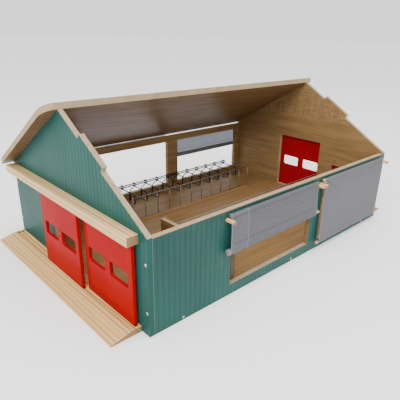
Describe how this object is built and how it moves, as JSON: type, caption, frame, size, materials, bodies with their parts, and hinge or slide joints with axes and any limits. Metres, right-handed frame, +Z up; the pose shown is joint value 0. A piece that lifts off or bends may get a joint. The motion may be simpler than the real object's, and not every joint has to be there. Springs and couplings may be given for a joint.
{
  "type": "toy barn",
  "caption": "Open-sided toy cattle barn with sliding doors at both ends, roll-up side curtains, wire stalls and fences, and a lift-off roof board.",
  "frame": {"origin": "underside of the floor, in the middle of the walls' outline", "axes": "+X along the barn from the gable with two doors to the gable with one door and a hatch, +Y across the barn from the front wall to the back wall, +Z up"},
  "size_m": [0.764, 0.4798, 0.2991],
  "materials": {
    "wood_board": "oiled plywood, open grain",
    "green_paint": "board painted satin green, bare cut edges",
    "red_paint": "board painted gloss red",
    "pine": "planed pine, bare",
    "steel_wire": "welded wire, grey",
    "curtain_cloth": "plain woven grey cloth"
  },
  "bodies": {
    "root": {"floor_board": "wood_board", "front_wall": "green_paint", "back_wall": "green_paint", "near_gable": "green_paint", "far_gable": "green_paint", "near_rail": "pine", "near_ramp": "pine", "far_rail": "pine", "hatch_rail": "pine", "far_ramp": "pine", "partition_board": "wood_board", "calf_pen_fence": "steel_wire", "feed_fence": "steel_wire", "feed_kerb": "pine", "stall_head_rails": "steel_wire", "stall_dividers": "steel_wire", "front_left_batten": "pine", "front_left_pegs": "pine", "front_left_cloth": "curtain_cloth", "front_right_batten": "pine", "front_right_pegs": "pine", "front_right_cloth": "curtain_cloth", "back_right_batten": "pine", "back_right_pegs": "pine", "back_right_cloth": "curtain_cloth", "back_left_batten": "pine", "back_left_pegs": "pine"},
    "near_left_door": {"near_left_door": "red_paint"},
    "near_right_door": {"near_right_door": "red_paint"},
    "far_door": {"far_door": "red_paint"},
    "hatch_door": {"hatch_door": "red_paint"},
    "roof": {"roof_panel": "wood_board"},
    "front_left_curtain": {"front_left_rod": "pine", "front_left_roll": "curtain_cloth"},
    "front_right_curtain": {"front_right_rod": "pine", "front_right_roll": "curtain_cloth"},
    "back_right_curtain": {"back_right_rod": "pine", "back_right_roll": "curtain_cloth"},
    "back_left_curtain": {"back_left_rod": "pine", "back_left_roll": "curtain_cloth"}
  },
  "joints": [
    {"name": "near_left_slide", "type": "slide", "parent": "root", "child": "near_left_door", "axis": [0, 1, 0], "range_m": [-0.1375, 0.1395]},
    {"name": "near_right_slide", "type": "slide", "parent": "root", "child": "near_right_door", "axis": [0, 1, 0], "range_m": [-0.0015, 0.2755]},
    {"name": "far_door_slide", "type": "slide", "parent": "root", "child": "far_door", "axis": [0, 1, 0], "range_m": [0, 0.1245]},
    {"name": "hatch_slide", "type": "slide", "parent": "root", "child": "hatch_door", "axis": [0, -1, 0], "range_m": [0, 0.0545]},
    {"name": "roof_lift", "type": "slide", "parent": "root", "child": "roof", "axis": [0, 0.515, 0.8572], "range_m": [0, 0.06]},
    {"name": "front_left_roll", "type": "slide", "parent": "root", "child": "front_left_curtain", "axis": [0, 0, 1], "range_m": [-0.067, 0.0458], "deforming": ["front_left_cloth"]},
    {"name": "front_right_roll", "type": "slide", "parent": "root", "child": "front_right_curtain", "axis": [0, 0, 1], "range_m": [0, 0.1148], "deforming": ["front_right_cloth"]},
    {"name": "back_right_roll", "type": "slide", "parent": "root", "child": "back_right_curtain", "axis": [0, 0, 1], "range_m": [-0.074, 0.0388], "deforming": ["back_right_cloth"]},
    {"name": "back_left_lift_off", "type": "slide", "parent": "root", "child": "back_left_curtain", "axis": [0, 1, 0], "range_m": [0, 0.012]}
  ]
}
